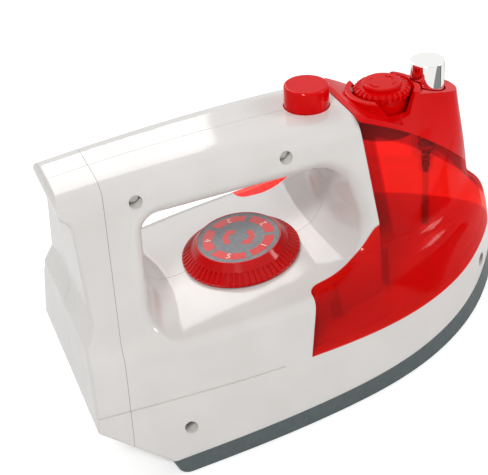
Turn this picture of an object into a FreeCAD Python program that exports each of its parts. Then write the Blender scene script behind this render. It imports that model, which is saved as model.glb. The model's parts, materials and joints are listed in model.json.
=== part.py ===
import FreeCAD, Part
import math
import os
from FreeCAD import Vector

# A toy iron: two white housing halves with a closed handle, a heel section in two halves, a slate
# grey soleplate, a clear red water tank with a red hood, a screw-on filler cap, a sprung spray
# pump, a sprung thumb button and a ribbed dial. Millimetres, X forward to the nose, Z up, Y = 0
# is the parting plane of the housing, and the origin is under the middle of the soleplate.

# Overall sizes
body_length = 166.3
flank_half_width = 41.65
hull_swell = 6.6
sole_thickness = 6.0
deck_height = 42.4
handle_height = 94.4
wall = 2.2
tank_wall = 1.8
hood_wall = 1.8
seam_gap = 0.12
parting_gap = 0.16
overrun = 20.0

# How the outer surface leans: height lost per millimetre forward, and width lost per height
flank_draft_share = 0.283
deck_slope_share = 0.065
handle_slope_share = 0.13
skirt_slope_share = 0.08

# Nose and places along the body
nose_step = 6.2
nose_half_width = 4.0
tower_nose_half_width = 6.0
dial_from_heel = 70.1
heel_height = 24.2
ledge_low_height = 51.8
ledge_high_height = 57.8
back_top_height = 90.0
sole_rear_from_heel = 18.9
ledge_low_from_heel = 6.3
ledge_high_from_heel = 10.6
back_top_from_heel = 16.2
crown_rear_from_heel = 13.6
crown_rear_height = 93.0
crown_top_from_heel = 21.0
crown_top_height = 100.6
crown_radius = 6.0
rear_edge_radius = 1.2
rim_radius = 4.5

# Finger opening between deck and handle
opening_rear_from_heel = 32.0
opening_rear_top_from_heel = 39.2
opening_front_from_nose = 62.0
opening_top_height = 77.2
opening_bulge = 10.2
opening_lift = 12.0
opening_reach = 40.0
opening_rear_radius = 10.0
opening_top_rear_radius = 6.0
opening_top_front_radius = 12.0
opening_front_radius = 13.0
opening_side_radius = 26.0

# Skirt line, tank and hood
skirt_height = 24.0
tank_rear_low_from_nose = 56.4
tank_rear_low_height = 20.0
tank_rear_high_from_nose = 50.3
tank_rear_high_height = 95.0
wing_rear_from_nose = 93.5
wing_half_width = 31.6
wing_half_width_front = 24.0
wing_front_from_nose = 46.0
wing_corner_radius = 5.0
wing_lean_share = 0.4
arch_rear_from_nose = 54.9
arch_rear_height = 88.6
arch_middle_from_nose = 26.4
arch_middle_height = 66.8
arch_front_from_nose = 1.9
arch_front_height = 35.5
lip_from_nose = 50.9
lip_height = 92.9
lip_slope_share = 0.424

# Parting line of the heel section
cover_top_from_heel = 29.2
cover_top_height = 98.7
cover_foot_from_heel = 9.5
cover_foot_height = 17.5

# Hood: a collar round the cap, and the valley between it and the handle's crown
hood_crown_corner = 9.0
hood_floor_from_cap_top = 13.7
hood_floor_thickness = 1.8
crown_rise = 0.2
valley_rise = 2.0
collar_radius = 13.0
collar_below_cap_top = 1.1
collar_draft_share = 0.19
collar_edge = 0.6
collar_flare = 0.7
collar_flare_height = 2.0

# Filler cap and its neck; the cap and the pump share one tilt
cap_from_nose = 33.6
cap_height = 85.2
cap_tilt_share = 0.14
cap_radius = 9.7
cap_grip_depth = 2.7
cap_bevel = 1.0
cap_bevel_radius = 8.5
cap_body_radius = 9.0
cap_depth = 12.0
cap_top_thickness = 2.2
cap_wall = 1.6
cap_disc_radius = 6.7
cap_disc_rise = 1.3
cap_edge = 0.5
cap_teeth = 27
cap_tooth_depth = 0.8
well_clearance = 0.5
neck_radius = 6.4
neck_bore = 4.8
gasket_thickness = 1.0
gasket_radius = 6.8
notch_rear_foot = 3.4
notch_front_foot = 4.2
notch_depth = 7.0
notch_flare_share = 0.64
notch_corner_radius = 1.0

# Spray pump
pump_from_nose = 15.7
pump_button_height = 87.75
pump_button_radius = 5.9
pump_button_length = 11.6
pump_button_wall = 1.0
pump_button_edge = 0.3
pump_travel = 5.0
pump_slack = 0.3
pump_stem_radius = 2.0
pump_fit = 0.05
pump_neck_radius = 4.4
pump_pocket_radius = 6.45
pump_flange_radius = 6.2
pump_flange_thickness = 1.2
cylinder_radius = 5.2
cylinder_bore = 3.9
cylinder_length = 18.0
cylinder_floor = 1.5
piston_length = 4.0
spring_clearance = 0.9
pump_spring_wire = 0.7
inlet_radius = 2.6
ball_radius = 1.4
ball_clearance = 0.2
ball_chamber = 3.0
inlet_bore = 0.9
dip_tube_radius = 1.5
dip_tube_socket = 3.0
dip_tube_foot_height = 21.5
outlet_height = 57.0
outlet_radius = 1.8
outlet_bore = 0.9
nozzle_radius = 2.8
nozzle_length = 4.0
nozzle_bore = 0.4

# Thumb button
thumb_from_nose = 61.6
thumb_radius = 7.6
thumb_clearance = 0.3
thumb_proud = 7.5
thumb_wall = 1.4
thumb_edge = 0.8
thumb_flange_radius = 9.0
thumb_flange_thickness = 1.2
thumb_flange_gap = 0.2
thumb_travel = 3.0
thumb_guide_clearance = 0.3
thumb_guide_wall = 1.6
thumb_spring_closed = 2.8
thumb_seat_thickness = 1.6
thumb_seat_edge = 0.8
thumb_spring_radius = 5.2
thumb_spring_wire = 0.7

# Dial
dial_radius = 21.0
dial_gap = 0.3
dial_rim_height = 1.1
dial_shoulder_radius = 17.2
dial_shoulder_height = 3.9
dial_height = 6.5
dial_wall = 1.6
dial_skirt_wall = 2.3
dial_label_border = 0.5
dial_ribs = 60
dial_rib_depth = 0.7
label_radius = 14.4
label_thickness = 0.5
label_clearance = 0.1
label_sink = 0.1
hub_radius = 4.0
hub_fit = 0.06
hub_root_radius = 6.0
deck_boss_wall = 2.4
deck_boss_depth = 5.5
spring_washer_thickness = 0.4
spring_washer_gap = 0.1
washer_radius = 7.0
washer_thickness = 1.0
dial_screw_reach = 6.0
dial_screw_head_radius = 2.8

# Soleplate
sole_flare = 1.0
sole_top_flare = 0.2
sole_floor = 2.5
sole_rear_lean = 1.5
sole_rim = 2.4
sole_lip_height = 3.0
sole_lip_wall = 1.5
sole_lip_clearance = 0.15
sole_corner_radius = 4.0

# Screws
screw_radius = 1.0
screw_fit = 0.05
screw_head_radius = 1.9
screw_head_height = 1.6
screw_recess_radius = 2.2
screw_depth = 5.0
screw_reach = 8.0
boss_radius = 3.2
handle_rear_screw_from_heel = 37.6
handle_rear_screw_height = 90.2
handle_front_screw_from_heel = 87.9
handle_front_screw_height = 85.2
heel_screw_from_heel = 28.7
heel_screw_height = 15.9
heel_screw_seat = 37.0
nose_screw_from_nose = 13.9
nose_screw_height = 11.0
nose_screw_seat = 8.5
rear_post_from_heel = 39.1
rear_post_half_spacing = 20.0
front_post_from_nose = 47.0
front_post_half_spacing = 13.0
sole_screw_head_depth = 0.6

# Joint between the heel section and the housing halves, and the line round the skirt
tongue_wall = 1.4
tongue_length = 4.0
tongue_root = 3.0
tongue_clearance = 0.1
skirt_groove_width = 0.5
skirt_groove_depth = 0.35
tank_post_from_nose = 76.9
tank_post_half_spacing = 33.5
tank_post_radius = 1.8

heel_x = -body_length / 2
nose_x = body_length / 2
dial_x = heel_x + dial_from_heel
sole_rear_x = heel_x + sole_rear_from_heel
thumb_foot = -(wall + thumb_flange_gap + thumb_flange_thickness)
thumb_seat_depth = thumb_travel + thumb_spring_closed - thumb_foot

# The outer surface is one smooth skin on rows of control points. Each row is a level: its height
# as a share, its slope as a share, the share of the hull's swell, the share of the nose step, the
# power of the nose's taper and how far the hood's waist draws in.
hull_level_shares = (
    (0.0, 0.0, 0.95, 0.0, 2.5),
    (0.22, 0.15, 1.05, -0.1, 2.5),
    (0.467, 0.46, 1.1, -0.1, 2.55),
    (0.687, 0.77, 1.12, -0.05, 2.6),
    (0.88, 1.0, 1.15, 0.08, 2.7),
    (1.0, 1.0, 1.1, 0.8, 2.9),
    (1.058, 1.0, -0.05, 0.97, 3.3),
    (1.21, 1.0, 0.0, 0.97, 3.4),
)
tower_level_shares = (
    (0.38, 0.3, 0.0, 1.0, 3.4, 0.0),
    (0.69, 0.7, 0.0, 1.03, 3.4, 0.18),
    (0.88, 1.0, 0.0, 1.06, 3.4, 0.42),
)
station_shares = (0.0, 0.16, 0.32, 0.46, 0.58, 0.69, 0.79, 0.87, 0.94, 1.0)
taper_start_share = 0.475
taper_end_power = 0.8
crown_pull = 8.0
tower_extra_height = 16.0
handle_bend_radius = 694.0
waist_from_nose = 43.5
weld_distance = 0.000001
edge_steps = 4
tooth_shares = ((0.0, 0.15), (0.12, 0.0), (0.4, 0.0), (0.52, 0.15), (0.62, 1.0), (0.9, 1.0))


def deck_z(x):
    return deck_height - deck_slope_share * (x - dial_x)


def handle_z(x):
    ahead = x - dial_x
    return handle_height - handle_slope_share * ahead - ahead**2 / (2 * handle_bend_radius)


def handle_slope(x):
    return handle_slope_share + (x - dial_x) / handle_bend_radius


def mirrored(shape):
    return shape.mirror(Vector(0, 0, 0), Vector(0, 1, 0))


def rounded_wire(corners, place):
    """A closed wire of lines and arcs; a corner is (u, v, radius)."""
    count = len(corners)
    edges = []
    joints = []
    for i in range(count):
        u0, v0, r0 = corners[i - 1]
        u1, v1, r1 = corners[i]
        u2, v2, r2 = corners[(i + 1) % count]
        here = Vector(u1, v1, 0)
        back = Vector(u0, v0, 0).sub(here)
        ahead = Vector(u2, v2, 0).sub(here)
        back.normalize()
        ahead.normalize()
        if r1 <= 0:
            joints.append((here, None, here))
            continue
        half_angle = back.getAngle(ahead) / 2
        reach = r1 / math.tan(half_angle)
        middle = back.add(ahead)
        middle.normalize()
        centre_distance = r1 / math.sin(half_angle)
        top = here.add(middle.multiply(centre_distance - r1))
        start = here.add(Vector(back).multiply(reach))
        end = here.add(Vector(ahead).multiply(reach))
        joints.append((start, top, end))
    for i in range(count):
        start, top, end = joints[i]
        if top is not None:
            edges.append(Part.Arc(place(start), place(top), place(end)).toShape())
        following = joints[(i + 1) % count][0]
        if end.distanceToPoint(following) > 0:
            edges.append(Part.LineSegment(place(end), place(following)).toShape())
    return Part.Wire(edges)


def side_prism(corners, y_low, y_high):
    """A solid between two Y planes with an XZ outline."""
    wire = rounded_wire(corners, lambda p: Vector(p.x, y_low, p.y))
    return Part.Face(wire).extrude(Vector(0, y_high - y_low, 0))


def level_rows(inset, crowned):
    """Height, slope, swell, setback, taper power, pull-in, nose half width, bend and waist."""
    rows = []
    hull_rise = deck_height - sole_thickness
    for share, slope, swell, step, power in hull_level_shares:
        height = sole_thickness + share * hull_rise
        lean = slope * deck_slope_share
        rows.append((height, lean, swell, step, power, 0, nose_half_width, 0, 0))
    rise = handle_height - deck_height
    spread = handle_slope_share - deck_slope_share
    for share, slope, swell, step, power, waist in tower_level_shares:
        height = deck_height + share * rise
        lean = deck_slope_share + slope * spread
        rows.append((height, lean, swell, step, power, 0, tower_nose_half_width, slope, waist))
    lean, swell, step, power, pull, tip_half, bend, waist = rows[-1][1:]
    if crowned:
        top = handle_height - inset
        rows.append((top, lean, swell, step, power, 0, tip_half, bend, waist))
        rows.append((top, lean, swell, step, power, crown_pull, tip_half, bend, waist))
    else:
        top = handle_height + tower_extra_height
        rows.append((top, lean, swell, step, power, 0, tip_half, bend, waist))
    if inset > 0:
        first = rows[0]
        rows[0] = (first[0] - inset,) + first[1:]
    return rows


def row_points(row, inset):
    height, slope, swell, step, power, pull, tip_half, bend, waist = row
    rear = heel_x - nose_step
    tip = nose_x - step * nose_step - inset
    taper_x = heel_x + taper_start_share * body_length - inset
    waist_x = nose_x - waist_from_nose
    points = []
    for share in station_shares:
        x = rear + (tip - rear) * share
        z = height - slope * (x - dial_x) - bend * (x - dial_x) ** 2 / (2 * handle_bend_radius)
        along = min(1.0, max(0.0, (x - heel_x) / (dial_x - heel_x)))
        half = flank_half_width - flank_draft_share * (z - sole_thickness)
        half = half + hull_swell * swell * math.sin(along * math.pi / 2) - pull - inset
        taper = min(1.0, max(0.0, (x - taper_x) / (tip - taper_x)))
        half = half * (1 - taper**power) ** taper_end_power
        narrowing = min(1.0, max(0.0, (x - waist_x) / (tip - waist_x)))
        half = half * (1 - waist * math.sin(narrowing * math.pi) ** 2)
        if share == 1.0:
            half = tip_half
        points.append(Vector(x, -half, z))
    return points + [Vector(p.x, -p.y, p.z) for p in reversed(points)]


def clamped_knots(count):
    spans = count - 3
    return [float(i) for i in range(spans + 1)], [4] + [1] * (spans - 1) + [4]


def near_half(points):
    """The near half of the curve on a row of poles, up to the parting plane."""
    knots, multiplicities = clamped_knots(len(points))
    curve = Part.BSplineCurve()
    curve.buildFromPolesMultsKnots(points, multiplicities, knots, False, 3)
    return curve.toShape(knots[0], (knots[0] + knots[-1]) / 2)


def body_form(inset, crowned):
    """The closed outer form, or the same form inset by a wall."""
    grid = [row_points(row, inset) for row in level_rows(inset, crowned)]
    row_knots, row_counts = clamped_knots(len(grid))
    point_knots, point_counts = clamped_knots(len(grid[0]))
    skin = Part.BSplineSurface()
    skin.buildFromPolesMultsKnots(
        grid, row_counts, point_counts, row_knots, point_knots, False, False, 3, 3
    )
    middle = (point_knots[0] + point_knots[-1]) / 2
    low_near = near_half(grid[0])
    high_near = near_half(grid[-1])
    faces = []
    for start, end in ((point_knots[0], middle), (middle, point_knots[-1])):
        side = skin.copy()
        side.segment(row_knots[0], row_knots[-1], start, end)
        faces.append(side.toShape())
    rear_near = Part.BSplineCurve()
    rear_near.buildFromPolesMultsKnots(
        [row[0] for row in grid], row_counts, row_knots, False, 3
    )
    rear_far = Part.BSplineCurve()
    rear_far.buildFromPolesMultsKnots(
        [row[-1] for row in grid], row_counts, row_knots, False, 3
    )
    faces.append(Part.makeRuledSurface(low_near, mirrored(low_near)))
    faces.append(Part.makeRuledSurface(high_near, mirrored(high_near)))
    faces.append(Part.makeRuledSurface(rear_near.toShape(), rear_far.toShape()))
    shell = Part.Shell(faces)
    shell.sewShape()
    solid = Part.Solid(Part.Shell(shell.Faces))
    solid.fix(weld_distance, weld_distance, weld_distance)
    if solid.Volume < 0:
        solid.reverse()
    return solid


def silhouette(inset):
    """The side silhouette behind the nose, as a prism across the whole width."""
    t = inset
    top = handle_height + tower_extra_height + overrun
    front = nose_x + overrun
    corners = [
        (sole_rear_x + t, sole_thickness, 0),
        (heel_x + t, heel_height + t / 2, 0),
        (heel_x + ledge_low_from_heel + t, ledge_low_height, 0),
        (heel_x + ledge_high_from_heel + t, ledge_high_height, 0),
        (heel_x + back_top_from_heel + t, back_top_height, 0),
        (heel_x + crown_rear_from_heel + t, crown_rear_height, 0),
        (heel_x + crown_rear_from_heel + t, crown_top_height - t, crown_radius - t),
        (heel_x + crown_top_from_heel + t, crown_top_height - t, 0),
        (heel_x + crown_top_from_heel + t, top, 0),
        (front, top, 0),
        (front, -overrun, 0),
        (sole_rear_x + t, -overrun, 0),
    ]
    return side_prism(corners, -body_length, body_length)


def opening_cutter(grow):
    """The finger opening: narrow on the parting plane, wider and higher towards the flanks."""
    wires = []
    for reach in (-1, 0, 1):
        away = abs(reach)
        y = reach * opening_reach
        rear = heel_x + opening_rear_from_heel - grow - away * opening_bulge
        rear_top = heel_x + opening_rear_top_from_heel - grow - away * opening_bulge
        front = nose_x - opening_front_from_nose + grow + away * opening_bulge
        lift = opening_top_height + away * opening_lift + grow
        corners = [
            (rear, deck_z(rear) - grow, opening_rear_radius + grow),
            (rear_top, lift - handle_slope_share * (rear_top - dial_x),
             opening_top_rear_radius + grow),
            (front, lift - handle_slope_share * (front - dial_x),
             opening_top_front_radius + grow),
            (front, deck_z(front) - grow,
             opening_front_radius + grow + away * (opening_side_radius - opening_front_radius)),
        ]
        wires.append(rounded_wire(corners, lambda p, y=y: Vector(p.x, y, p.y)))
    return Part.makeLoft(wires, True, False)


def rounded_rim(form):
    """Rounds the two rims of the finger opening where it breaks through the flanks."""
    chosen = []
    for edge in form.Edges:
        box = edge.BoundBox
        on_one_side = box.YMin > 0 or box.YMax < 0
        behind = box.XMin < heel_x + opening_rear_from_heel - opening_bulge
        ahead = box.XMax > nose_x - opening_front_from_nose + opening_bulge
        if on_one_side and not behind and not ahead:
            chosen.append(edge)
    return form.makeFillet(rim_radius, chosen)


def rounded_rear(form):
    """Rounds the edges of the heel's rear faces, up to the crown."""
    chosen = []
    for edge in form.Edges:
        middle = edge.CenterOfMass
        at_rear = middle.x < heel_x + cover_top_from_heel
        if at_rear and sole_thickness + wall / 2 < middle.z < crown_rear_height - wall / 2:
            chosen.append(edge)
    return form.makeFillet(rear_edge_radius, chosen)


def white_form(inset):
    """The housing's form; the outer one has its edges rounded."""
    form = body_form(inset, True).common(silhouette(inset))
    if inset > 0:
        return form.cut(opening_cutter(inset))
    return rounded_rim(rounded_rear(form).cut(opening_cutter(0)))


def below_line(x0, z0, slope, lift):
    """A wide solid under a plane that passes (x0, z0) and falls by slope per millimetre."""
    far = body_length
    corners = [
        (x0 - far, z0 + slope * far + lift, 0),
        (x0 - far, -overrun, 0),
        (x0 + far, -overrun, 0),
        (x0 + far, z0 - slope * far + lift, 0),
    ]
    return side_prism(corners, -far, far)


def under_skirt_line(lift):
    return below_line(dial_x, skirt_height, skirt_slope_share, lift)


def under_lip_line(lift):
    return below_line(nose_x - lip_from_nose, lip_height, lip_slope_share, lift)


def tower_space(shrink):
    """Forward of the leaning plane behind the tank and hood."""
    low_x = nose_x - tank_rear_low_from_nose + shrink
    high_x = nose_x - tank_rear_high_from_nose + shrink
    lean = (high_x - low_x) / (tank_rear_high_height - tank_rear_low_height)
    foot_z = -overrun
    top_z = handle_height + 2 * overrun
    foot_x = low_x + lean * (foot_z - tank_rear_low_height)
    top_x = low_x + lean * (top_z - tank_rear_low_height)
    front = nose_x + overrun
    corners = [(foot_x, foot_z, 0), (front, foot_z, 0), (front, top_z, 0), (top_x, top_z, 0)]
    return side_prism(corners, -body_length, body_length)


def wing_space(shrink):
    """The two leaning blocks that carry the tank back along the flanks."""
    rear = nose_x - wing_rear_from_nose + shrink
    front = nose_x - wing_front_from_nose
    rise = tank_rear_high_height - tank_rear_low_height
    blocks = []
    for side in (-1, 1):
        inner_rear = wing_half_width + shrink
        inner_front = wing_half_width_front + shrink
        corners = [
            (rear, side * body_length, 0),
            (rear, side * inner_rear, wing_corner_radius),
            (front, side * inner_front, 0),
            (front, side * body_length, 0),
        ]
        foot = tank_rear_low_height - overrun
        shift = -wing_lean_share * overrun
        wire = rounded_wire(corners, lambda p: Vector(p.x + shift, p.y, foot))
        height = rise + overrun
        blocks.append(Part.Face(wire).extrude(Vector(wing_lean_share * height, 0, height)))
    return blocks


def tank_space(shrink, floor_lift):
    space = tower_space(shrink).fuse(wing_space(shrink))
    return space.cut(under_skirt_line(floor_lift))


def hood_space(shrink):
    """Above the arch where the hood sits on the tank."""
    rear = Vector(nose_x - arch_rear_from_nose, 0, arch_rear_height + shrink)
    middle = Vector(nose_x - arch_middle_from_nose, 0, arch_middle_height + shrink)
    front = Vector(nose_x - arch_front_from_nose, 0, arch_front_height + shrink)
    top = handle_height + overrun
    far = nose_x + overrun
    points = [front, Vector(far, 0, front.z), Vector(far, 0, top), Vector(rear.x, 0, top), rear]
    edges = [Part.Arc(rear, middle, front).toShape()]
    for a, b in zip(points, points[1:]):
        edges.append(Part.LineSegment(a, b).toShape())
    face = Part.Face(Part.Wire(edges))
    face.translate(Vector(0, -body_length, 0))
    return face.extrude(Vector(0, 2 * body_length, 0))


def cover_space(shift):
    """Behind the slanted parting plane of the heel section."""
    top_x = heel_x + cover_top_from_heel + shift
    foot_x = heel_x + cover_foot_from_heel + shift
    lean = (top_x - foot_x) / (cover_top_height - cover_foot_height)
    top_z = handle_height + 2 * overrun
    corners = [
        (top_x + lean * (top_z - cover_top_height), top_z, 0),
        (foot_x - lean * (cover_foot_height + overrun), -overrun, 0),
        (heel_x - overrun, -overrun, 0),
        (heel_x - overrun, top_z, 0),
    ]
    return side_prism(corners, -body_length, body_length)


def side_half(side):
    box = Part.makeBox(2 * body_length, body_length, 2 * body_length)
    box.translate(Vector(-body_length, 0, -body_length / 2))
    if side < 0:
        box.translate(Vector(0, -body_length, 0))
    return box


def tilted(shape, x, z, slope):
    """Leans a shape built about Z forward by slope and moves its origin to (x, z)."""
    turned = shape.copy()
    turned.rotate(Vector(0, 0, 0), Vector(0, 1, 0), math.degrees(math.atan(slope)))
    turned.translate(Vector(x, 0, z))
    return turned


def revolved(profile):
    """A solid of revolution about Z from (radius, height) points."""
    points = [Vector(radius, 0, height) for radius, height in profile]
    points.append(points[0])
    return Part.Face(Part.makePolygon(points)).revolve(Vector(0, 0, 0), Vector(0, 0, 1), 360)


def cylinder(radius, low, high):
    return Part.makeCylinder(radius, high - low, Vector(0, 0, low))


def rounded_corner(radius, top, edge):
    """Points round the upper outer edge of a revolved profile."""
    points = []
    for step in range(edge_steps + 1):
        angle = step / edge_steps * math.pi / 2
        across_edge = edge * (1 - math.cos(angle))
        points.append((radius - across_edge, top - edge + edge * math.sin(angle)))
    return points


def rounded_bar(radius, low, high, edge):
    return revolved([(0, low), (radius, low)] + rounded_corner(radius, high, edge) + [(0, high)])


def ring(outer_radius, inner_radius, low, high):
    return cylinder(outer_radius, low, high).cut(cylinder(inner_radius, low, high))


def toothed_wire(teeth, radius, depth, height):
    """A closed outline with flat-topped teeth."""
    points = []
    pitch = 2 * math.pi / teeth
    for i in range(teeth):
        for share, low in tooth_shares:
            angle = (i + share) * pitch
            reach = radius - low * depth
            points.append(Vector(reach * math.cos(angle), reach * math.sin(angle), height))
    points.append(points[0])
    return Part.makePolygon(points)


def toothed_solid(teeth, depth, low_radius, low, high_radius, high):
    """A ribbed disc or cone."""
    wires = [toothed_wire(teeth, low_radius, depth, low)]
    wires.append(toothed_wire(teeth, high_radius, depth, high))
    return Part.makeLoft(wires, True, True)


def across(radius, x, z, low, high):
    return Part.makeCylinder(radius, high - low, Vector(x, low, z), Vector(0, 1, 0))


def upright(radius, x, y, low, high):
    return Part.makeCylinder(radius, high - low, Vector(x, y, low))


def sole_wire(flare, height, rear):
    """The sole's outline at a height, from the body's lowest row, closed by a straight rear."""
    low_row = level_rows(0, True)[0]
    points = [Vector(min(p.x, nose_x), p.y, p.z) for p in row_points(low_row, -flare)]
    knots, multiplicities = clamped_knots(len(points))
    curve = Part.BSplineCurve()
    curve.buildFromPolesMultsKnots(points, multiplicities, knots, False, 3)
    closing = Part.LineSegment(points[-1], points[0]).toShape()
    outline = Part.Face(Part.Wire([curve.toShape(), closing]))
    corner = Vector(rear - body_length, -body_length, sole_thickness)
    behind = Part.makePlane(body_length, 2 * body_length, corner)
    outline = outline.cut(behind)
    outline.translate(Vector(0, 0, height - sole_thickness))
    return outline.Faces[0].OuterWire


os.makedirs("parts", exist_ok=True)
parts = {}
wide = 2 * body_length

# Forms that several pieces share
opening = opening_cutter(0)
white_outer = white_form(0)
white_inner = white_form(wall)
room = white_inner.cut(tank_space(-wall, -wall))
cap_x = nose_x - cap_from_nose
pump_x = nose_x - pump_from_nose
thumb_x = nose_x - thumb_from_nose
thumb_z = handle_z(thumb_x)
thumb_slope = handle_slope(thumb_x)
rear_post_x = heel_x + rear_post_from_heel
front_post_x = nose_x - front_post_from_nose


def on_cap_axis(shape):
    return tilted(shape, cap_x, cap_height, cap_tilt_share)


def on_pump_axis(shape):
    return tilted(shape, pump_x, pump_button_height, cap_tilt_share)


def on_thumb_axis(shape):
    return tilted(shape, thumb_x, thumb_z, thumb_slope)


def on_dial_axis(shape):
    return tilted(shape, dial_x, deck_height, deck_slope_share)


def flank_half(z):
    return flank_half_width - flank_draft_share * (z - sole_thickness)


def crown_guard():
    """Below the handle's crown, continued forward over the tank and the hood."""
    lip_x = nose_x - lip_from_nose
    high = handle_z(lip_x) + crown_rise
    top_half = flank_half(high) + crown_rise
    low_half = flank_half(-body_length) + 2 * overrun
    corners = [
        (-low_half, -body_length, 0),
        (-top_half, high, hood_crown_corner),
        (top_half, high, hood_crown_corner),
        (low_half, -body_length, 0),
    ]
    slope = handle_slope(lip_x)
    lift = slope * (lip_x - heel_x)
    wire = rounded_wire(corners, lambda p: Vector(heel_x, p.x, p.y + lift))
    return Part.Face(wire).extrude(Vector(wide, 0, -slope * wide))


# Housing before it is parted: the skin, the bosses inside it and the holes
housing = white_outer.cut(tank_space(-seam_gap, 0)).cut(room)
boss_floor = -(wall + deck_boss_depth)
dial_boss_radius = hub_radius + hub_fit + deck_boss_wall
housing = housing.fuse(on_dial_axis(cylinder(dial_boss_radius, boss_floor, -wall / 2)))
guide_bore = thumb_flange_radius + thumb_guide_clearance
guide_radius = guide_bore + thumb_guide_wall
guide_foot = -(thumb_seat_depth + thumb_seat_thickness + thumb_guide_wall)
guide = on_thumb_axis(cylinder(guide_radius, guide_foot, -wall / 2))
housing = housing.fuse(guide.common(white_outer))
handle_screws = (
    (heel_x + handle_rear_screw_from_heel, handle_rear_screw_height),
    (heel_x + handle_front_screw_from_heel, handle_front_screw_height),
)
shell_screws = [(x, z, flank_half(z) - screw_depth) for x, z in handle_screws]
shell_screws.append((heel_x + heel_screw_from_heel, heel_screw_height, heel_screw_seat))
shell_screws.append((nose_x - nose_screw_from_nose, nose_screw_height, nose_screw_seat))
for x, z, seat in shell_screws:
    housing = housing.fuse(across(boss_radius, x, z, -body_length, body_length).common(room))
post_places = []
for side in (-1, 1):
    post_places.append((rear_post_x, side * rear_post_half_spacing))
    post_places.append((front_post_x, side * front_post_half_spacing))
for x, y in post_places:
    post = upright(boss_radius, x, y, sole_thickness, handle_height)
    low_room = room.common(Part.makeBox(
        2 * boss_radius, 2 * boss_radius, deck_z(x) - sole_thickness,
        Vector(x - boss_radius, y - boss_radius, sole_thickness)))
    housing = housing.fuse(post.common(low_room))
housing = housing.removeSplitter()

housing = housing.cut(on_dial_axis(cylinder(hub_radius + hub_fit, boss_floor, dial_height)))
thumb_hole = cylinder(thumb_radius + thumb_clearance, guide_foot, thumb_proud)
housing = housing.cut(on_thumb_axis(thumb_hole))
housing = housing.cut(on_thumb_axis(cylinder(guide_bore, guide_foot, -wall)))
groove_radius = guide_bore + thumb_seat_edge
seat_foot = -(thumb_seat_depth + thumb_seat_thickness)
housing = housing.cut(on_thumb_axis(cylinder(groove_radius, seat_foot, -thumb_seat_depth)))
for x, z, seat in shell_screws:
    housing = housing.cut(across(screw_recess_radius, x, z, -body_length, -seat))
    housing = housing.cut(across(screw_radius + screw_fit, x, z, -seat, screw_reach))
pilot_top = sole_thickness + screw_reach
for x, y in post_places:
    housing = housing.cut(upright(screw_radius + screw_fit, x, y, 0, pilot_top))
groove_slab = under_skirt_line(skirt_groove_width / 2)
groove_slab = groove_slab.cut(under_skirt_line(-skirt_groove_width / 2))
groove = groove_slab.cut(body_form(skirt_groove_depth, True))
groove = groove.cut(tank_space(-overrun / 2, -overrun / 2))
housing = housing.cut(groove)

# Heel section and housing halves
cover = housing.common(cover_space(0))
tongue_inside = white_form(wall + tongue_clearance + tongue_wall)
tongue_skin = white_form(wall + tongue_clearance).cut(tongue_inside)
root_skin = white_form(wall / 2).cut(tongue_inside)
tongue = tongue_skin.common(cover_space(tongue_length)).cut(cover_space(0))
root = root_skin.common(cover_space(0)).cut(cover_space(-tongue_root))
above_sole = Part.makeBox(
    body_length, 2 * body_length, body_length,
    Vector(heel_x - overrun, -body_length, sole_thickness + sole_lip_height))
tongue = tongue.fuse(root).common(above_sole)
front = housing.cut(cover_space(seam_gap))
for side, name in ((-1, "right"), (1, "left")):
    half = side_half(side)
    half.translate(Vector(0, side * parting_gap / 2, 0))
    parts[name + "_shell"] = front.common(half)
    parts["rear_cover_" + name] = cover.fuse(tongue).common(half)

# Tank
tank_outer = rounded_rim(body_form(0, False).cut(opening)).common(tank_space(0, seam_gap))
tank_outer = tank_outer.cut(hood_space(0)).common(crown_guard())
tank_hollow = body_form(tank_wall, False).common(tank_space(tank_wall, tank_wall + seam_gap))
tank_hollow = tank_hollow.cut(opening_cutter(tank_wall))
tank = tank_outer.cut(tank_hollow)
for side in (-1, 1):
    post_y = side * tank_post_half_spacing
    post = upright(tank_post_radius, nose_x - tank_post_from_nose, post_y, 0, deck_height)
    tank = tank.fuse(post.common(tank_outer))
parts["water_tank"] = tank.removeSplitter()

# Hood: collar and valley, side notches, well, pump pocket, neck and nozzle hole
floor_top = -hood_floor_from_cap_top
floor_foot = floor_top - hood_floor_thickness
collar_top = -collar_below_cap_top
collar_foot_radius = collar_radius + collar_draft_share * (collar_top - floor_foot)
collar_profile = [(0, floor_foot), (collar_foot_radius, floor_foot)]
collar_profile += rounded_corner(collar_radius, collar_top, collar_edge)
collar_profile.append((0, collar_top))
forward_of_cap = Part.makeBox(wide, wide, wide, Vector(0, -wide / 2, -wide / 2))
hood_limit = on_cap_axis(forward_of_cap).common(under_lip_line(0))
hood_limit = hood_limit.fuse(crown_guard().cut(hood_space(valley_rise)))
hood_limit = hood_limit.fuse(on_cap_axis(revolved(collar_profile)))
hood = body_form(0, False).common(tower_space(0)).common(hood_space(0)).common(hood_limit)
notch_flare = notch_flare_share * (notch_depth + overrun)
notch_corners = [
    (-notch_rear_foot - notch_flare, overrun, 0),
    (-notch_rear_foot, -notch_depth, notch_corner_radius),
    (notch_front_foot, -notch_depth, notch_corner_radius),
    (notch_front_foot + notch_flare, overrun, 0),
]
hood = hood.cut(on_cap_axis(side_prism(notch_corners, -body_length, body_length)))
under_floor = Part.makeBox(wide, wide, wide, Vector(-wide / 2, -wide / 2, floor_foot - wide))
hood_room = body_form(hood_wall, False).common(tower_space(hood_wall))
hood = hood.cut(hood_room.common(on_cap_axis(under_floor)))
well_radius = cap_radius + well_clearance
cup = on_cap_axis(cylinder(well_radius + hood_wall, floor_foot, -notch_depth))
hood = hood.fuse(cup.common(body_form(tank_wall + seam_gap, False)))
hood = hood.cut(on_cap_axis(revolved((
    (0, floor_top),
    (well_radius, floor_top),
    (well_radius, collar_top - collar_flare_height),
    (well_radius + collar_flare, collar_top),
    (well_radius + collar_flare, overrun),
    (0, overrun),
))))
neck_top = -(cap_top_thickness + gasket_thickness)
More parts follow.
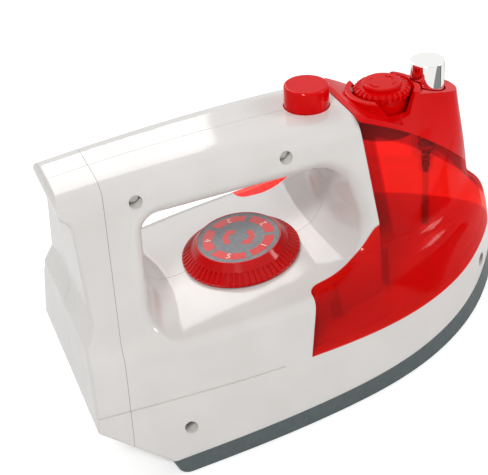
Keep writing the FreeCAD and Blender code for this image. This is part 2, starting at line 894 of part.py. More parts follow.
hood = hood.fuse(on_cap_axis(cylinder(neck_radius, floor_foot, neck_top)))
hood = hood.cut(on_cap_axis(cylinder(neck_bore, floor_foot - overrun, neck_top)))
tilt = math.atan(cap_tilt_share)
seat_drop = (cap_x - pump_x) * math.sin(tilt) + (cap_height - pump_button_height) * math.cos(tilt)
pump_floor = seat_drop - hood_floor_from_cap_top
pump_foot = pump_floor - hood_floor_thickness
hood = hood.cut(on_pump_axis(cylinder(pump_pocket_radius, pump_floor, overrun)))
pump_hole = cylinder(cylinder_radius + pump_fit, pump_foot - pump_fit, pump_floor + pump_fit)
hood = hood.cut(on_pump_axis(pump_hole))
nozzle_hole = Part.makeCylinder(
    nozzle_radius + pump_fit, overrun, Vector(pump_x, 0, outlet_height), Vector(1, 0, 0))
parts["tank_hood"] = hood.cut(nozzle_hole).removeSplitter()

# Filler cap and gasket
grip_foot = -cap_grip_depth
grip = toothed_solid(cap_teeth, cap_tooth_depth, cap_radius, grip_foot, cap_radius, -cap_bevel)
bevel = toothed_solid(cap_teeth, cap_tooth_depth, cap_radius, -cap_bevel, cap_bevel_radius, 0)
cap = grip.fuse(bevel)
cap = cap.fuse(cylinder(cap_body_radius, -cap_depth, grip_foot))
cap = cap.fuse(rounded_bar(cap_disc_radius, -cap_edge, cap_disc_rise, cap_edge))
cap = cap.cut(cylinder(cap_body_radius - cap_wall, -cap_depth, -cap_top_thickness))
parts["filler_cap"] = on_cap_axis(cap)
parts["filler_gasket"] = on_cap_axis(ring(gasket_radius, neck_bore, neck_top, -cap_top_thickness))

# Spray pump
button = rounded_bar(pump_button_radius, -pump_button_length, 0, pump_button_edge)
button_bore = pump_button_radius - pump_button_wall
button = button.cut(cylinder(button_bore, -pump_button_length, -pump_button_wall))
parts["spray_button"] = on_pump_axis(button)
neck_height = -(pump_button_wall + pump_travel + pump_slack)
flange_top = pump_floor + pump_flange_thickness
cylinder_foot = pump_floor - cylinder_length
bore_top = pump_floor - pump_button_wall / 2
bore_foot = cylinder_foot + cylinder_floor
chamber_foot = cylinder_foot - ball_chamber
socket_top = chamber_foot - cylinder_floor / 2
socket_foot = socket_top - dip_tube_socket
piston_top = bore_top - pump_slack
piston_foot = piston_top - piston_length
stem = cylinder(pump_stem_radius, piston_top, -pump_button_wall)
piston = stem.fuse(cylinder(cylinder_bore - pump_fit, piston_foot, piston_top))
parts["pump_piston"] = on_pump_axis(piston)
body = revolved((
    (0, neck_height),
    (pump_neck_radius, neck_height),
    (pump_neck_radius, flange_top),
    (pump_flange_radius, flange_top),
    (pump_flange_radius, pump_floor),
    (cylinder_radius, pump_floor),
    (cylinder_radius, cylinder_foot),
    (inlet_radius, cylinder_foot),
    (inlet_radius, socket_foot),
    (0, socket_foot),
))
body = body.cut(cylinder(pump_stem_radius + pump_fit, bore_top, neck_height))
body = body.cut(cylinder(cylinder_bore, bore_foot, bore_top))
body = body.cut(cylinder(inlet_bore, socket_foot, bore_foot))
body = body.cut(cylinder(ball_radius + ball_clearance, chamber_foot, cylinder_foot))
body = body.cut(cylinder(dip_tube_radius + pump_fit, socket_foot, socket_top))
body = on_pump_axis(body)
outlet_x = pump_x + (outlet_height - pump_button_height) * cap_tilt_share
outlet_side = Part.makeCylinder(
    outlet_radius + pump_fit, overrun, Vector(outlet_x, 0, outlet_height), Vector(1, 0, 0))
parts["pump_cylinder"] = body.cut(outlet_side)
spring_radius = cylinder_bore - spring_clearance
pump_spring = ring(spring_radius, spring_radius - pump_spring_wire, bore_foot, piston_foot)
parts["pump_spring"] = on_pump_axis(pump_spring)
ball_rest = math.sqrt(ball_radius**2 - inlet_bore**2)
ball = Part.makeSphere(ball_radius, Vector(0, 0, chamber_foot + ball_rest))
parts["pump_valve_ball"] = on_pump_axis(ball)
dip_length = pump_button_height / math.cos(tilt) - dip_tube_foot_height
dip_tube = on_pump_axis(ring(dip_tube_radius, inlet_bore, -dip_length, socket_top))
parts["dip_tube"] = dip_tube
outlet_start = outlet_x + cylinder_bore + pump_fit
nozzle_bar = Part.makeCylinder(
    nozzle_radius, overrun + nozzle_length, Vector(nose_x - overrun, 0, outlet_height),
    Vector(1, 0, 0))
nozzle_bar = nozzle_bar.common(body_form(0, False))
nozzle_rear = nozzle_bar.BoundBox.XMax - nozzle_length
outlet_length = nozzle_rear - outlet_start
outlet_from = Vector(outlet_start, 0, outlet_height)
outlet = Part.makeCylinder(outlet_radius, outlet_length, outlet_from, Vector(1, 0, 0))
bore = Part.makeCylinder(outlet_bore, outlet_length, outlet_from, Vector(1, 0, 0))
parts["outlet_tube"] = outlet.cut(bore)
rear_corner = Vector(nozzle_rear - overrun, -overrun / 2, outlet_height - overrun / 2)
nozzle = nozzle_bar.cut(Part.makeBox(overrun, overrun, overrun, rear_corner))
nozzle_from = Vector(nozzle_rear, 0, outlet_height)
nozzle = nozzle.cut(Part.makeCylinder(nozzle_bore, overrun, nozzle_from, Vector(1, 0, 0)))
parts["spray_nozzle"] = nozzle

# Thumb button, its seat and its spring
thumb = rounded_bar(thumb_radius, thumb_foot, thumb_proud, thumb_edge)
thumb = thumb.fuse(cylinder(thumb_flange_radius, thumb_foot, thumb_foot + thumb_flange_thickness))
thumb = thumb.cut(cylinder(thumb_radius - thumb_wall, thumb_foot, thumb_proud - thumb_wall))
parts["steam_button"] = on_thumb_axis(thumb)
seat = cylinder(groove_radius - screw_fit, seat_foot, -thumb_seat_depth)
parts["steam_button_seat"] = on_thumb_axis(seat)
spring_bore = thumb_spring_radius - thumb_spring_wire
spring = ring(thumb_spring_radius, spring_bore, -thumb_seat_depth, thumb_proud - thumb_wall)
parts["steam_button_spring"] = on_thumb_axis(spring)

# Dial with its label, washers and screw
hub_foot = boss_floor - spring_washer_gap - spring_washer_thickness
dial = toothed_solid(
    dial_ribs, dial_rib_depth, dial_radius, dial_rim_height, dial_shoulder_radius,
    dial_shoulder_height)
rim_edge = dial_gap * 2
dial = dial.fuse(revolved((
    (0, dial_gap),
    (dial_radius - dial_gap, dial_gap),
    (dial_radius, rim_edge),
    (dial_radius, dial_rim_height),
    (0, dial_rim_height),
)))
dial = dial.fuse(revolved((
    (0, dial_shoulder_height),
    (dial_shoulder_radius, dial_shoulder_height),
    (label_radius + dial_label_border, dial_height),
    (0, dial_height),
)))
hollow_low = dial_radius - dial_skirt_wall - dial_rib_depth
hollow_high = dial_shoulder_radius - dial_skirt_wall - dial_rib_depth
hollow_top = dial_height - label_thickness - label_sink - dial_wall
dial = dial.cut(revolved((
    (hub_root_radius, dial_gap),
    (hollow_low, dial_gap),
    (hollow_low, dial_rim_height),
    (hollow_high, hollow_top),
    (hub_root_radius, hollow_top),
)))
dial = dial.fuse(cylinder(hub_radius, hub_foot, dial_rim_height))
label_seat = dial_height - label_thickness - label_sink
dial = dial.cut(cylinder(label_radius + label_clearance, label_seat, dial_height))
dial_screw_top = hub_foot + dial_screw_reach
dial = dial.cut(cylinder(screw_radius + screw_fit, hub_foot, dial_screw_top))
parts["temperature_dial"] = on_dial_axis(dial)
parts["dial_label"] = on_dial_axis(cylinder(label_radius, label_seat, label_seat + label_thickness))
spring_washer_foot = boss_floor - spring_washer_gap - spring_washer_thickness
inner = hub_radius + hub_fit
spring_washer_top = boss_floor - spring_washer_gap
spring_washer = ring(washer_radius, inner, spring_washer_foot, spring_washer_top)
parts["dial_spring_washer"] = on_dial_axis(spring_washer)
washer_foot = hub_foot - washer_thickness
parts["dial_washer"] = on_dial_axis(ring(washer_radius, screw_radius + screw_fit, washer_foot, hub_foot))
dial_screw = cylinder(screw_radius, washer_foot, dial_screw_top - screw_fit)
dial_screw_foot = washer_foot - screw_head_height
dial_screw = dial_screw.fuse(cylinder(dial_screw_head_radius, dial_screw_foot, washer_foot))
parts["dial_screw"] = on_dial_axis(dial_screw)

# Soleplate
sole_rear_foot = sole_rear_x + sole_rear_lean
top_wire = sole_wire(sole_top_flare, sole_thickness, sole_rear_x - sole_top_flare)
foot_wire = sole_wire(sole_flare, 0, sole_rear_foot - sole_top_flare)
sole = Part.makeLoft([foot_wire, top_wire], True, True)
corner_edges = []
for edge in sole.Edges:
    middle = edge.CenterOfMass
    if abs(middle.z - sole_thickness / 2) < sole_thickness / 4 and middle.x < rear_post_x:
        corner_edges.append(edge)
sole = sole.makeFillet(sole_corner_radius, corner_edges)
tray_wire = sole_wire(-sole_rim, sole_floor, sole_rear_x + sole_rim)
tray = Part.Face(tray_wire).extrude(Vector(0, 0, sole_thickness))
sole = sole.cut(tray)
lip_corner = Vector(
    sole_rear_x + wall + sole_lip_clearance, -body_length, sole_thickness - wall)
lip_band = Part.makeBox(wide, wide, sole_lip_height + wall, lip_corner)
lip_fill = body_form(wall + sole_lip_clearance, True).common(lip_band)
lip_void = body_form(wall + sole_lip_clearance + sole_lip_wall, True).common(lip_band)
lip = lip_fill.cut(lip_void)
for x, z, seat in shell_screws:
    lip = lip.cut(across(boss_radius + sole_lip_clearance, x, z, -body_length, body_length))
sole = sole.fuse(lip)
for x, y in post_places:
    sole = sole.fuse(upright(boss_radius, x, y, 0, sole_thickness))
    sole = sole.cut(upright(screw_recess_radius, x, y, 0, sole_screw_head_depth + screw_head_height))
    sole = sole.cut(upright(screw_radius + screw_fit, x, y, 0, sole_thickness))
parts["soleplate"] = sole

# Screws
driven = []
for x, z, seat in shell_screws:
    shank = across(screw_radius, x, z, -seat, screw_reach - screw_fit)
    driven.append(shank.fuse(across(screw_head_radius, x, z, -seat - screw_head_height, -seat)))
parts["shell_screws"] = Part.makeCompound(driven)
driven = []
head_top = sole_screw_head_depth + screw_head_height
for x, y in post_places:
    shank = upright(screw_radius, x, y, head_top, pilot_top - screw_fit)
    driven.append(shank.fuse(upright(screw_head_radius, x, y, sole_screw_head_depth, head_top)))
parts["sole_screws"] = Part.makeCompound(driven)

for name, shape in parts.items():
    shape.exportStep("parts/" + name + ".step")
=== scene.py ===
"""Looks for a toy iron: glossy white housing, clear red tank, red hood, ribbed red dial, chrome
pump button and a slate grey soleplate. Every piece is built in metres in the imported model's
frame."""

import json
import math

import bmesh
import bpy
from mathutils import Matrix, Vector


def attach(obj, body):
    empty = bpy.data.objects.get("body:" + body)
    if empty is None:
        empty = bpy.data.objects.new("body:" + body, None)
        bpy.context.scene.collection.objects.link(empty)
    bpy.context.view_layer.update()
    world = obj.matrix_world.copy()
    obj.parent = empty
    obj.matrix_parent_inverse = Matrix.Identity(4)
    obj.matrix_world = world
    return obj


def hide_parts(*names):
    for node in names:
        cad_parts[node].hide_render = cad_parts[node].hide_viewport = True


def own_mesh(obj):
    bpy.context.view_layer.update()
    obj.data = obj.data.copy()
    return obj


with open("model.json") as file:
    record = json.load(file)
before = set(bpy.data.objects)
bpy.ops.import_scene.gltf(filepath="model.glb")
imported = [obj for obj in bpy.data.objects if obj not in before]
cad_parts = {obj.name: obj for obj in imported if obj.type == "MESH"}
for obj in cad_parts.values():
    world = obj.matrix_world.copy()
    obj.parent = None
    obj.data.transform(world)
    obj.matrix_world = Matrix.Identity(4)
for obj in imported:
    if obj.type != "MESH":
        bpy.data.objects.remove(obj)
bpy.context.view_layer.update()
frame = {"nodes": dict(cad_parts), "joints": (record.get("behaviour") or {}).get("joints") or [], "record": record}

nodes = frame["nodes"]
MM = 0.001

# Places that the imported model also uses, in millimetres
DIAL_X = -13.05
DECK_Z = 42.4
DECK_SLOPE = 0.065
LABEL_TOP = 6.4
CAP_X = 49.55
CAP_Z = 85.2
CAP_SLOPE = 0.14
CAP_DISC_TOP = 1.3
TANK_REAR_FOOT = 25.12
TANK_REAR_LEAN = 0.0813
ARCH_X = -47.65
ARCH_Z = -40.16
ARCH_RADIUS = 149.47


def leaning(x, z, slope):
    """The matrix of a frame at (x, z) millimetres whose Z axis leans forward by slope."""
    turn = Matrix.Rotation(math.atan(slope), 4, "Y")
    return Matrix.Translation(Vector((x, 0, z)) * MM) @ turn


def placed(name, data):
    """A new object in the scene."""
    thing = bpy.data.objects.new(name, data)
    bpy.context.scene.collection.objects.link(thing)
    return thing


# Materials
# Each grain is the scale, strength and depth of a surface's waviness
MOULDED_GRAIN = (60.0, 0.03, 0.0003)
SOLE_GRAIN = (400.0, 0.05, 0.0001)
PRINT_GRAIN = (900.0, 0.05, 0.0001)
CHROME_GRAIN = (40.0, 0.01, 0.0002)
STEEL_GRAIN = (700.0, 0.05, 0.0001)
CLEAR_GRAIN = (30.0, 0.01, 0.0003)
GRAIN_DETAIL = 2.0
MOTTLE_START = 0.35
MOTTLE_END = 0.65
CLEAR_IOR = 1.7
CLEAR_GLOSS = 0.8
FACING_BLEND = 0.3
RIM_POWER = 3.5
# Sockets of a mix node that take the factor and the two colours and give the mixed one
MIX_FACTOR = 0
MIX_FIRST = 6
MIX_SECOND = 7
MIX_RESULT = 2


def principled(name):
    material = bpy.data.materials.new(name)
    material.use_nodes = True
    tree = material.node_tree
    return material, tree, tree.nodes["Principled BSDF"]


def fine_bump(tree, shader, grain):
    """Faint waviness of the surface; gives back the noise that makes it."""
    scale, strength, depth = grain
    place = tree.nodes.new("ShaderNodeTexCoord")
    noise = tree.nodes.new("ShaderNodeTexNoise")
    noise.inputs["Scale"].default_value = scale
    noise.inputs["Detail"].default_value = GRAIN_DETAIL
    bump = tree.nodes.new("ShaderNodeBump")
    bump.inputs["Strength"].default_value = strength
    bump.inputs["Distance"].default_value = depth
    tree.links.new(place.outputs["Object"], noise.inputs["Vector"])
    tree.links.new(noise.outputs["Fac"], bump.inputs["Height"])
    tree.links.new(bump.outputs["Normal"], shader.inputs["Normal"])
    return noise


def mottled(tree, shader, noise, low, high):
    """A base colour that wanders slightly between two tones."""
    ramp = tree.nodes.new("ShaderNodeValToRGB")
    first, last = ramp.color_ramp.elements
    first.position = MOTTLE_START
    last.position = MOTTLE_END
    first.color = (*low, 1)
    last.color = (*high, 1)
    tree.links.new(noise.outputs["Fac"], ramp.inputs["Fac"])
    tree.links.new(ramp.outputs["Color"], shader.inputs["Base Color"])


def plastic(name, low, high, roughness, gloss, grain=MOULDED_GRAIN):
    """Moulded plastic between two tones; gloss is the specular level."""
    material, tree, shader = principled(name)
    shader.inputs["Roughness"].default_value = roughness
    shader.inputs["Specular IOR Level"].default_value = gloss
    noise = fine_bump(tree, shader, grain)
    mottled(tree, shader, noise, low, high)
    return material


def metal(name, colour, roughness, grain):
    material, tree, shader = principled(name)
    shader.inputs["Base Color"].default_value = (*colour, 1)
    shader.inputs["Metallic"].default_value = 1.0
    shader.inputs["Roughness"].default_value = roughness
    fine_bump(tree, shader, grain)
    return material


def step(tree, source, low, high, start=0.0, end=1.0):
    """Runs from start to end while source runs from low to high."""
    ramp = tree.nodes.new("ShaderNodeMapRange")
    ramp.inputs["From Min"].default_value = low
    ramp.inputs["From Max"].default_value = high
    ramp.inputs["To Min"].default_value = start
    ramp.inputs["To Max"].default_value = end
    tree.links.new(source, ramp.inputs["Value"])
    return ramp.outputs["Result"]


def combined(tree, operation, first, second):
    """The result of a math node on two values, each an output or a number."""
    node = tree.nodes.new("ShaderNodeMath")
    node.operation = operation
    for socket, value in zip(node.inputs, (first, second)):
        if isinstance(value, (int, float)):
            socket.default_value = value
        else:
            tree.links.new(value, socket)
    return node.outputs["Value"]


def clear_tint(name, low, high, tint, facing_share, edge_share, roughness):
    """Clear coloured plastic: a tinted see-through part, less of it towards the rims."""
    material, tree, shader = principled(name)
    shader.inputs["Roughness"].default_value = roughness
    shader.inputs["IOR"].default_value = CLEAR_IOR
    shader.inputs["Specular IOR Level"].default_value = CLEAR_GLOSS
    noise = fine_bump(tree, shader, CLEAR_GRAIN)
    mottled(tree, shader, noise, low, high)
    see_through = tree.nodes.new("ShaderNodeBsdfTransparent")
    see_through.inputs["Color"].default_value = (*tint, 1)
    facing = tree.nodes.new("ShaderNodeLayerWeight")
    facing.inputs["Blend"].default_value = FACING_BLEND
    rim = combined(tree, "POWER", facing.outputs["Facing"], RIM_POWER)
    share = step(tree, rim, 0.0, 1.0, facing_share, edge_share)
    mix = tree.nodes.new("ShaderNodeMixShader")
    tree.links.new(share, mix.inputs["Fac"])
    tree.links.new(see_through.outputs["BSDF"], mix.inputs[1])
    tree.links.new(shader.outputs["BSDF"], mix.inputs[2])
    output = tree.nodes["Material Output"]
    tree.links.new(mix.outputs["Shader"], output.inputs["Surface"])
    return material


# Where the tank's painted shade bands fade in and out, in millimetres from its rear edge, from the deck
# and from the arch of the hood's lower edge
STRIP_START = (-0.3, 0.0)
STRIP_END = (4.4, 4.8)
STRIP_FOOT = (1.0, 9.0)
ARCH_BAND = (-4.0, -3.6)


def edge_step(tree, source, edge, offsets, start=0.0, end=1.0):
    """A step between two offsets from an edge, in millimetres."""
    low, high = (edge + offset for offset in offsets)
    return step(tree, source, low * MM, high * MM, start, end)


def tank_painted_shade(material, dark, dark_tint):
    """Painted shade: darker bands where the tank tucks into the housing and under the hood's arch."""
    tree = material.node_tree
    place = tree.nodes.new("ShaderNodeTexCoord")
    parts = tree.nodes.new("ShaderNodeSeparateXYZ")
    tree.links.new(place.outputs["Object"], parts.inputs["Vector"])
    leaned = combined(tree, "MULTIPLY", parts.outputs["Z"], TANK_REAR_LEAN)
    forward = combined(tree, "SUBTRACT", parts.outputs["X"], leaned)
    ahead = edge_step(tree, forward, TANK_REAR_FOOT, STRIP_START)
    behind = edge_step(tree, forward, TANK_REAR_FOOT, STRIP_END, 1.0, 0.0)
    strip = combined(tree, "MULTIPLY", ahead, behind)
    above_deck = edge_step(tree, parts.outputs["Z"], DECK_Z, STRIP_FOOT)
    rear = combined(tree, "MULTIPLY", strip, above_deck)
    flat = tree.nodes.new("ShaderNodeCombineXYZ")
    tree.links.new(parts.outputs["X"], flat.inputs["X"])
    tree.links.new(parts.outputs["Z"], flat.inputs["Z"])
    reach = tree.nodes.new("ShaderNodeVectorMath")
    reach.operation = "DISTANCE"
    tree.links.new(flat.outputs["Vector"], reach.inputs[0])
    reach.inputs[1].default_value = (ARCH_X * MM, 0, ARCH_Z * MM)
    under = edge_step(tree, reach.outputs["Value"], ARCH_RADIUS, ARCH_BAND)
    band = combined(tree, "MAXIMUM", rear, under)
    body = tree.nodes["Principled BSDF"].inputs["Base Color"]
    glass = tree.nodes["Transparent BSDF"].inputs["Color"]
    for target, colour in ((body, dark), (glass, dark_tint)):
        mix = tree.nodes.new("ShaderNodeMix")
        mix.data_type = "RGBA"
        tree.links.new(band, mix.inputs[MIX_FACTOR])
        if target.is_linked:
            tree.links.new(target.links[0].from_socket, mix.inputs[MIX_FIRST])
        else:
            mix.inputs[MIX_FIRST].default_value = target.default_value
        mix.inputs[MIX_SECOND].default_value = (*colour, 1)
        tree.links.new(mix.outputs[MIX_RESULT], target)


white = plastic(
    "white_plastic", (0.685, 0.662, 0.64), (0.715, 0.692, 0.67), roughness=0.08, gloss=0.5)
red = plastic(
    "red_plastic", (0.63, 0.001, 0.001), (0.69, 0.001, 0.002), roughness=0.06, gloss=0.1)
dial_red = plastic(
    "dial_red", (0.50, 0.001, 0.001), (0.56, 0.001, 0.002), roughness=0.08, gloss=0.2)
grey = plastic(
    "grey_plastic", (0.085, 0.105, 0.108), (0.10, 0.122, 0.125),
    roughness=0.42, gloss=0.3, grain=SOLE_GRAIN)
silver_print = plastic(
    "label_print", (0.22, 0.235, 0.25), (0.28, 0.295, 0.31),
    roughness=0.5, gloss=0.15, grain=PRINT_GRAIN)
red_print = plastic(
    "red_print", (0.68, 0.02, 0.02), (0.74, 0.03, 0.03),
    roughness=0.35, gloss=0.3, grain=PRINT_GRAIN)
pale_print = plastic(
    "pale_print", (0.80, 0.72, 0.66), (0.84, 0.76, 0.70),
    roughness=0.4, gloss=0.3, grain=PRINT_GRAIN)
rubber = plastic(
    "rubber", (0.02, 0.02, 0.02), (0.03, 0.03, 0.03), roughness=0.7, gloss=0.3)
chrome = metal("chrome", (0.90, 0.90, 0.88), roughness=0.04, grain=CHROME_GRAIN)
steel = metal("steel", (0.74, 0.73, 0.72), roughness=0.3, grain=STEEL_GRAIN)
tank = clear_tint(
    "tank_plastic", (0.92, 0.001, 0.001), (0.98, 0.002, 0.002), tint=(1.0, 0.33, 0.28),
    facing_share=0.09, edge_share=0.8, roughness=0.02)
# Painted shade: darker bands on the tank along its rear edge and under the hood's arch
tank_painted_shade(tank, dark=(0.50, 0.001, 0.001), dark_tint=(0.76, 0.04, 0.04))
clear = clear_tint(
    "clear_plastic", (0.72, 0.70, 0.68), (0.78, 0.76, 0.74), tint=(0.95, 0.93, 0.91),
    facing_share=0.05, edge_share=0.45, roughness=0.1)

SLOT_MATERIALS = {
    "white_plastic": white,
    "red_plastic": red,
    "tank_plastic": tank,
    "grey_plastic": grey,
    "label_print": silver_print,
    "clear_plastic": clear,
    "chrome": chrome,
    "steel": steel,
    "rubber": rubber,
}
SHARP_ANGLE = math.radians(32)


def dress(piece, material):
    """Gives the piece this one material."""
    piece.data.materials.clear()
    piece.data.materials.append(material)


slot_of = {row["node"]: row["material_slot"] for row in frame["record"]["subparts"]}
for name, node in nodes.items():
    dress(node, SLOT_MATERIALS[slot_of[name]])
    node.data.set_sharp_from_angle(angle=SHARP_ANGLE)
    for face in node.data.polygons:
        face.use_smooth = True
dress(nodes["temperature_dial"], dial_red)

# Printed label and embossed arrows, in millimetres and degrees
PRINT = 0.03
SEGMENTS = 5
FIRST_BAND = -58
BAND_HALF = 31
BAND_INNER = 9.3
BAND_OUTER = 12.8
NUMBER_RADIUS = 11.05
NUMBER_SIZE = 3.6
NUMBER_DEPTH = 0.02
DIAL_ARROWS = (-100, 80)
DIAL_ARROW_SWEEP = 120
CAP_ARROWS = (-60, 120)
CAP_ARROW_SWEEP = 110
CAP_ARROW_SUNK = 0.05
CAP_ARROW_RISE = 0.25


def add_piece(name, mesh, matrix, material, body):
    """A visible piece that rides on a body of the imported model."""
    piece = placed(name, mesh)
    mesh.transform(matrix)
    dress(piece, material)
    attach(piece, body)
    return piece


def slab(outline, low, high):
    """A thin solid with the given outline, in millimetres."""
    mesh = bpy.data.meshes.new("slab")
    shape = bmesh.new()
    bottom = [shape.verts.new((u * MM, v * MM, low * MM)) for u, v in outline]
    top = [shape.verts.new((u * MM, v * MM, high * MM)) for u, v in outline]
    shape.faces.new(bottom)
    shape.faces.new(top)
    for i in range(len(outline)):
        shape.faces.new((bottom[i - 1], bottom[i], top[i], top[i - 1]))
    bmesh.ops.recalc_face_normals(shape, faces=shape.faces)
    shape.to_mesh(mesh)
    shape.free()
    return mesh


def on_circle(radius, degrees):
    """A point on a circle about the origin."""
    angle = math.radians(degrees)
    return (radius * math.cos(angle), radius * math.sin(angle))


def arc_points(radius, start, end, steps):
    """Points along an arc from start to end, in degrees."""
    return [on_circle(radius, start + (end - start) * i / steps) for i in range(steps + 1)]


def arc_band(inner, outer, start, end, steps=16):
    """The outline of a flat band along an arc."""
    return arc_points(outer, start, end, steps) + arc_points(inner, end, start, steps)


def arc_arrow(radius, width, start, end, head, spread, steps=14):
    """A curved arrow; the head takes the last head degrees and is spread wider than the band."""
    neck = end - math.copysign(head, end - start)
    outer = arc_points(radius + width / 2, start, neck, steps)
    inner = arc_points(radius - width / 2, neck, start, steps)
    tip = on_circle(radius, end)
    wide_out = on_circle(radius + spread, neck)
    wide_in = on_circle(radius - spread, neck)
    return outer + [wide_out, tip, wide_in] + inner


dial_frame = leaning(DIAL_X, DECK_Z, DECK_SLOPE)
for i in range(SEGMENTS):
    middle = FIRST_BAND + i * 360 / SEGMENTS
    band = arc_band(BAND_INNER, BAND_OUTER, middle - BAND_HALF, middle + BAND_HALF)
    mesh = slab(band, LABEL_TOP, LABEL_TOP + PRINT)
    add_piece(f"dial_band_{i + 1}", mesh, dial_frame, red_print, "dial")
    text = bpy.data.curves.new(f"dial_number_{i + 1}", "FONT")
    text.body = str(i + 1)
    text.size = NUMBER_SIZE * MM
    text.align_x = "CENTER"
    text.align_y = "CENTER"
    text.extrude = NUMBER_DEPTH * MM
    number = bpy.data.objects.new("number", text)
    mesh = bpy.data.meshes.new_from_object(number)
    bpy.data.objects.remove(number)
    spot = Vector((*on_circle(NUMBER_RADIUS, middle), LABEL_TOP + PRINT)) * MM
    upright = Matrix.Rotation(math.radians(middle) + math.pi / 2, 4, "Z")
    place = Matrix.Translation(spot) @ upright
    add_piece(f"dial_number_{i + 1}", mesh, dial_frame @ place, pale_print, "dial")
for i, start in enumerate(DIAL_ARROWS):
    arrow = arc_arrow(
        radius=4.6, width=2.0, start=start + DIAL_ARROW_SWEEP, end=start, head=38, spread=2.1)
    mesh = slab(arrow, LABEL_TOP, LABEL_TOP + PRINT)
    add_piece(f"dial_arrow_{i + 1}", mesh, dial_frame, red_print, "dial")

cap_frame = leaning(CAP_X, CAP_Z, CAP_SLOPE)
for i, start in enumerate(CAP_ARROWS):
    arrow = arc_arrow(
        radius=4.4, width=0.7, start=start, end=start + CAP_ARROW_SWEEP, head=26, spread=1.0)
    mesh = slab(arrow, CAP_DISC_TOP - CAP_ARROW_SUNK, CAP_DISC_TOP + CAP_ARROW_RISE)
    add_piece(f"cap_arrow_{i + 1}", mesh, cap_frame, red, "cap")

# Springs, as wire coils in place of the packed ones
SPRING_WIRE = 0.6
RING_POINTS = 8
STEPS_PER_TURN = 24


def wire_coil(length, radius, wire, turns):
    """A spring along Z from 0 to length with a closed turn at each end, in metres."""
    mesh = bpy.data.meshes.new("coil")
    shape = bmesh.new()
    steps = (turns + 2) * STEPS_PER_TURN
    pitch = (length - 3 * wire) / turns
    rings = []
    for i in range(steps + 1):
        turned = i / STEPS_PER_TURN
        if turned < 1:
            rise = wire * turned
            climb = wire
        elif turned < turns + 1:
            rise = wire + pitch * (turned - 1)
            climb = pitch
        else:
            rise = wire + pitch * turns + wire * (turned - turns - 1)
            climb = wire
        angle = 2 * math.pi * turned
        out = Vector((math.cos(angle), math.sin(angle), 0))
        along = Vector((-out.y * radius, out.x * radius, climb / (2 * math.pi))).normalized()
        across = along.cross(out)
        centre = out * radius + Vector((0, 0, rise + wire / 2))
        ring = []
        for k in range(RING_POINTS):
            turn = 2 * math.pi * k / RING_POINTS
            offset = out * math.cos(turn) + across * math.sin(turn)
            ring.append(shape.verts.new(centre + offset * (wire / 2)))
        rings.append(ring)
    for first, second in zip(rings, rings[1:]):
        for k in range(RING_POINTS):
            after = (k + 1) % RING_POINTS
            shape.faces.new((first[k], first[after], second[after], second[k]))
    shape.faces.new(rings[0])
    shape.faces.new(rings[-1])
    bmesh.ops.recalc_face_normals(shape, faces=shape.faces)
    shape.to_mesh(mesh)
    shape.free()
    for face in mesh.polygons:
        face.use_smooth = len(face.vertices) == 4
    return mesh


def coil_spring(node_name, joint_name, turns):
    """A wire coil in the place of a packed spring, between the same two seats."""
    joint = next(row for row in frame["joints"] if row["name"] == joint_name)
    axis = Vector(joint["axis"]).normalized()
    points = [vertex.co.copy() for vertex in nodes[node_name].data.vertices]
    heights = [point.dot(axis) for point in points]
    centre = sum(points, Vector()) / len(points)
    centre -= axis * centre.dot(axis)
    reach = max((p - axis * h - centre).length for p, h in zip(points, heights))
    foot = centre + axis * min(heights)
    length = max(heights) - min(heights)
    wire = SPRING_WIRE * MM
    mesh = wire_coil(length, reach - wire / 2, wire, turns)
    place = Matrix.Translation(foot) @ Matrix.Rotation(math.atan2(axis.x, axis.z), 4, "Y")
    piece = add_piece(node_name + "_coil", mesh, place, steel, "housing")
    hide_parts(node_name)
    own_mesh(piece)


coil_spring("pump_spring", "spray_press", 4)
coil_spring("steam_button_spring", "steam_press", 6)

# Floor, in metres: its own glow rises with the distance from the iron
FLOOR_HALF = 3
FLOOR_DROP = 0.0002
GLOW_NEAR = 0.25
GLOW_FAR = 1.2
GLOW_LOW = 0.3
GLOW_HIGH = 0.7
FLOOR_MIRRORED = 0.1


def seen_rays(tree, mirrors):
    """How much of the white surroundings a ray sees: all of it for camera and see-through rays,
    the share called mirrors for mirror rays, and nothing for those that light the part."""
    path = tree.nodes.new("ShaderNodeLightPath")
    glossy = combined(tree, "MULTIPLY", path.outputs["Is Glossy Ray"], mirrors)
    direct = combined(tree, "MAXIMUM", path.outputs["Is Camera Ray"], glossy)
    return combined(tree, "MAXIMUM", direct, path.outputs["Is Transmission Ray"])


floor_mesh = bpy.data.meshes.new("floor")
floor_corners = [
    (-FLOOR_HALF, -FLOOR_HALF, 0), (FLOOR_HALF, -FLOOR_HALF, 0),
    (FLOOR_HALF, FLOOR_HALF, 0), (-FLOOR_HALF, FLOOR_HALF, 0)]
floor_mesh.from_pydata(floor_corners, [], [(0, 1, 2, 3)])
floor = placed("floor", floor_mesh)
floor.location.z = -FLOOR_DROP
floor_material, floor_tree, floor_shader = principled("floor_paper")
floor_shader.inputs["Base Color"].default_value = (0.9, 0.9, 0.9, 1)
floor_shader.inputs["Roughness"].default_value = 0.9
floor_shader.inputs["Emission Color"].default_value = (1, 1, 1, 1)
floor_place = floor_tree.nodes.new("ShaderNodeTexCoord")
floor_reach = floor_tree.nodes.new("ShaderNodeVectorMath")
floor_reach.operation = "LENGTH"
floor_tree.links.new(floor_place.outputs["Object"], floor_reach.inputs[0])
floor_lift = step(
    floor_tree, floor_reach.outputs["Value"], GLOW_NEAR, GLOW_FAR, GLOW_LOW, GLOW_HIGH)
floor_glow = combined(floor_tree, "MULTIPLY", floor_lift, seen_rays(floor_tree, FLOOR_MIRRORED))
floor_tree.links.new(floor_glow, floor_shader.inputs["Emission Strength"])
dress(floor, floor_material)

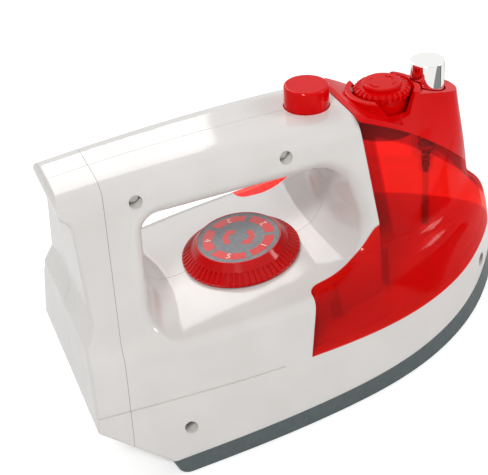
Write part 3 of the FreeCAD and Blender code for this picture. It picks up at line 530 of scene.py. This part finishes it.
# Grey cards on the floor around the nose, which only mirror rays see: the first and last angle in
# degrees and the tone of each, and the arc that they share in millimetres
CARDS = ((-80, -24, 0.2), (-24, -16, 0.02), (36, 52, 0.03))
CARD_INNER = 58
CARD_OUTER = 150
CARD_THICKNESS = 0.1
CARD_CENTRE = (67.45, 0, 0.2)
CARD_GREEN = 1.1
CARD_BLUE = 1.06
for i, (start, end, tone) in enumerate(CARDS):
    card_material, card_tree, card_shader = principled(f"card_{i + 1}")
    card_shader.inputs["Base Color"].default_value = (tone, tone * CARD_GREEN, tone * CARD_BLUE, 1)
    card_shader.inputs["Roughness"].default_value = 0.8
    card_mesh = slab(arc_band(CARD_INNER, CARD_OUTER, start, end), 0, CARD_THICKNESS)
    card_mesh.transform(Matrix.Translation(Vector(CARD_CENTRE) * MM))
    card = placed(f"card_{i + 1}", card_mesh)
    dress(card, card_material)
    card.visible_camera = False
    card.visible_diffuse = False
    card.visible_shadow = False
    card.visible_transmission = False

# Camera, from the fit to the photograph
TURN = math.radians(13.425)
DOWN = math.radians(36.572)
ROLL = math.radians(14.68)
FOCAL_PX = 1142.989
DISTANCE = 400.066 * MM
TARGET = Vector((-10.75, 0, 47.657)) * MM
IMAGE_WIDTH = 488
SENSOR = 36.0
CLIP_START = 0.01
level = Vector((math.cos(TURN), -math.sin(TURN), 0))
ahead = Vector((math.sin(TURN) * math.cos(DOWN), math.cos(TURN) * math.cos(DOWN), -math.sin(DOWN)))
above = level.cross(ahead)
right_axis = level * math.cos(ROLL) - above * math.sin(ROLL)
up_axis = level * math.sin(ROLL) + above * math.cos(ROLL)
camera_data = bpy.data.cameras.new("camera")
camera_data.sensor_width = SENSOR
camera_data.lens = FOCAL_PX / IMAGE_WIDTH * SENSOR
camera_data.clip_start = CLIP_START
camera = placed("camera", camera_data)
turn = Matrix((right_axis, up_axis, -ahead)).transposed().to_4x4()
camera.matrix_world = Matrix.Translation(TARGET - ahead * DISTANCE) @ turn
bpy.context.scene.camera = camera


# Lights
def area_light(name, place, aim, width, height, power):
    """A rectangular lamp at place that points at aim, in metres and watts."""
    data = bpy.data.lights.new(name, "AREA")
    data.shape = "RECTANGLE"
    data.size = width
    data.size_y = height
    data.energy = power
    light = placed(name, data)
    direction = Vector(aim) - Vector(place)
    light.rotation_euler = direction.to_track_quat("-Z", "Y").to_euler()
    light.location = place


area_light("key", (-0.3, -0.5, 0.8), (0, 0, 0.04), width=0.2, height=0.14, power=3.6)
area_light("back", (0.0, 0.78, 0.67), (0, 0, 0.06), width=0.64, height=0.5, power=3.3)
area_light("side", (0.8, -0.3, 0.45), (0.02, 0, 0.05), width=0.22, height=0.3, power=2.2)

# The surroundings look pure white, but light the part less than that
WORLD_LIGHT = 0.42
WORLD_SEEN = 1.0
world = bpy.data.worlds.new("studio")
bpy.context.scene.world = world
world.use_nodes = True
world_tree = world.node_tree
backdrop = world_tree.nodes["Background"]
backdrop.inputs["Color"].default_value = (1, 1, 1, 1)
strength = step(world_tree, seen_rays(world_tree, 1.0), 0.0, 1.0, WORLD_LIGHT, WORLD_SEEN)
world_tree.links.new(strength, backdrop.inputs["Strength"])

bpy.context.scene.view_settings.view_transform = "Standard"
